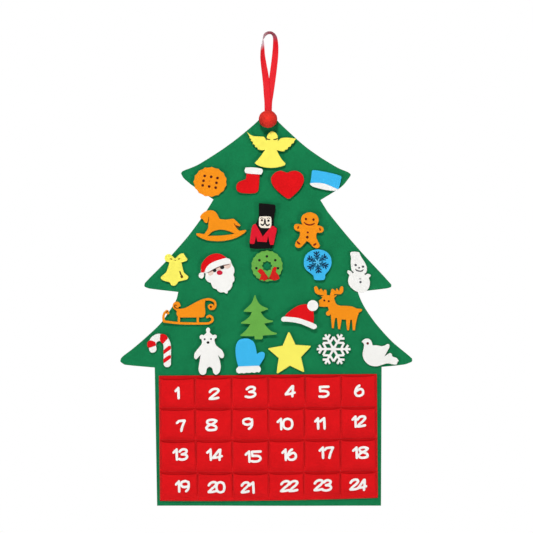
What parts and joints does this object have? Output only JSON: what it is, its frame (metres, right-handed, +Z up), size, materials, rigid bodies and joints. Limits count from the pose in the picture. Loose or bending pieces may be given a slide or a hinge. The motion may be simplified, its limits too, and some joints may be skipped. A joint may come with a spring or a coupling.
{
  "type": "pocket advent calendar",
  "caption": "Felt Christmas-tree wall hanging with a ribbon loop, rows of numbered pockets for treats, and felt ornaments that pull off and press on again.",
  "frame": {"origin": "inside top of the ribbon loop, where the wall hook carries the calendar", "axes": "+Z up, the front faces -Y, +X to the right as seen from the front"},
  "size_m": [0.6999, 0.0474, 1.1326],
  "materials": {
    "green_felt": "pressed felt, matt",
    "red_felt": "pressed felt, matt",
    "white_felt": "pressed felt, matt",
    "yellow_felt": "pressed felt, matt",
    "orange_felt": "pressed felt, matt",
    "blue_felt": "pressed felt, matt",
    "leaf_felt": "pressed felt, matt",
    "black_felt": "pressed felt, matt",
    "ball_felt": "soft wool felt ball",
    "red_satin": "woven satin ribbon, soft sheen"
  },
  "bodies": {
    "ribbon": {"ribbon_loop": "red_satin"},
    "panel": {"tree_backing": "green_felt", "pocket_ground": "red_felt", "pocket_strip_1": "red_felt", "pocket_strip_2": "red_felt", "pocket_strip_3": "red_felt", "pocket_strip_4": "red_felt", "number_01": "white_felt", "number_02": "white_felt", "number_03": "white_felt", "number_04": "white_felt", "number_05": "white_felt", "number_06": "white_felt", "number_07": "white_felt", "number_08": "white_felt", "number_09": "white_felt", "number_10": "white_felt", "number_11": "white_felt", "number_12": "white_felt", "number_13": "white_felt", "number_14": "white_felt", "number_15": "white_felt", "number_16": "white_felt", "number_17": "white_felt", "number_18": "white_felt", "number_19": "white_felt", "number_20": "white_felt", "number_21": "white_felt", "number_22": "white_felt", "number_23": "white_felt", "number_24": "white_felt", "ribbon_tails": "red_satin", "treetop_ball": "ball_felt"},
    "angel": {"angel_ornament": "yellow_felt"},
    "cookie": {"cookie_ornament": "orange_felt"},
    "stocking": {"stocking_ornament": "red_felt", "stocking_cuff": "white_felt"},
    "heart": {"heart_ornament": "red_felt"},
    "cap": {"cap_ornament": "blue_felt"},
    "rocking_horse": {"rocking_horse_ornament": "orange_felt"},
    "nutcracker": {"nutcracker_ornament": "black_felt"},
    "gingerbread": {"gingerbread_ornament": "orange_felt"},
    "bell": {"bell_ornament": "yellow_felt"},
    "santa": {"santa_ornament": "white_felt"},
    "wreath": {"wreath_ornament": "leaf_felt"},
    "bauble": {"bauble_ornament": "blue_felt"},
    "snowman": {"snowman_ornament": "white_felt"},
    "sleigh": {"sleigh_ornament": "orange_felt"},
    "fir": {"fir_ornament": "leaf_felt"},
    "santa_hat": {"santa_hat_ornament": "red_felt", "santa_hat_brim": "white_felt", "santa_hat_pom": "white_felt"},
    "reindeer": {"reindeer_ornament": "orange_felt"},
    "candy_cane": {"candy_cane_ornament": "white_felt"},
    "polar_bear": {"polar_bear_ornament": "white_felt"},
    "mitten": {"mitten_ornament": "blue_felt", "mitten_cuff": "white_felt"},
    "star": {"star_ornament": "yellow_felt"},
    "snowflake": {"snowflake_ornament": "white_felt"},
    "dove": {"dove_ornament": "white_felt"}
  },
  "joints": [
    {"name": "panel_swing", "type": "hinge", "parent": "ribbon", "child": "panel", "pos_m": [-0.0016, 0.0042, -0.181], "axis": [-1, 0, 0], "range_deg": [0, 80]},
    {"name": "angel_pull_off", "type": "slide", "parent": "panel", "child": "angel", "axis": [0, -1, 0], "range_m": [0, 0.08]},
    {"name": "cookie_pull_off", "type": "slide", "parent": "panel", "child": "cookie", "axis": [0, -1, 0], "range_m": [0, 0.08]},
    {"name": "stocking_pull_off", "type": "slide", "parent": "panel", "child": "stocking", "axis": [0, -1, 0], "range_m": [0, 0.08]},
    {"name": "heart_pull_off", "type": "slide", "parent": "panel", "child": "heart", "axis": [0, -1, 0], "range_m": [0, 0.08]},
    {"name": "cap_pull_off", "type": "slide", "parent": "panel", "child": "cap", "axis": [0, -1, 0], "range_m": [0, 0.08]},
    {"name": "rocking_horse_pull_off", "type": "slide", "parent": "panel", "child": "rocking_horse", "axis": [0, -1, 0], "range_m": [0, 0.08]},
    {"name": "nutcracker_pull_off", "type": "slide", "parent": "panel", "child": "nutcracker", "axis": [0, -1, 0], "range_m": [0, 0.08]},
    {"name": "gingerbread_pull_off", "type": "slide", "parent": "panel", "child": "gingerbread", "axis": [0, -1, 0], "range_m": [0, 0.08]},
    {"name": "bell_pull_off", "type": "slide", "parent": "panel", "child": "bell", "axis": [0, -1, 0], "range_m": [0, 0.08]},
    {"name": "santa_pull_off", "type": "slide", "parent": "panel", "child": "santa", "axis": [0, -1, 0], "range_m": [0, 0.08]},
    {"name": "wreath_pull_off", "type": "slide", "parent": "panel", "child": "wreath", "axis": [0, -1, 0], "range_m": [0, 0.08]},
    {"name": "bauble_pull_off", "type": "slide", "parent": "panel", "child": "bauble", "axis": [0, -1, 0], "range_m": [0, 0.08]},
    {"name": "snowman_pull_off", "type": "slide", "parent": "panel", "child": "snowman", "axis": [0, -1, 0], "range_m": [0, 0.08]},
    {"name": "sleigh_pull_off", "type": "slide", "parent": "panel", "child": "sleigh", "axis": [0, -1, 0], "range_m": [0, 0.08]},
    {"name": "fir_pull_off", "type": "slide", "parent": "panel", "child": "fir", "axis": [0, -1, 0], "range_m": [0, 0.08]},
    {"name": "santa_hat_pull_off", "type": "slide", "parent": "panel", "child": "santa_hat", "axis": [0, -1, 0], "range_m": [0, 0.08]},
    {"name": "reindeer_pull_off", "type": "slide", "parent": "panel", "child": "reindeer", "axis": [0, -1, 0], "range_m": [0, 0.08]},
    {"name": "candy_cane_pull_off", "type": "slide", "parent": "panel", "child": "candy_cane", "axis": [0, -1, 0], "range_m": [0, 0.08]},
    {"name": "polar_bear_pull_off", "type": "slide", "parent": "panel", "child": "polar_bear", "axis": [0, -1, 0], "range_m": [0, 0.08]},
    {"name": "mitten_pull_off", "type": "slide", "parent": "panel", "child": "mitten", "axis": [0, -1, 0], "range_m": [0, 0.08]},
    {"name": "star_pull_off", "type": "slide", "parent": "panel", "child": "star", "axis": [0, -1, 0], "range_m": [0, 0.08]},
    {"name": "snowflake_pull_off", "type": "slide", "parent": "panel", "child": "snowflake", "axis": [0, -1, 0], "range_m": [0, 0.08]},
    {"name": "dove_pull_off", "type": "slide", "parent": "panel", "child": "dove", "axis": [0, -1, 0], "range_m": [0, 0.08]}
  ]
}
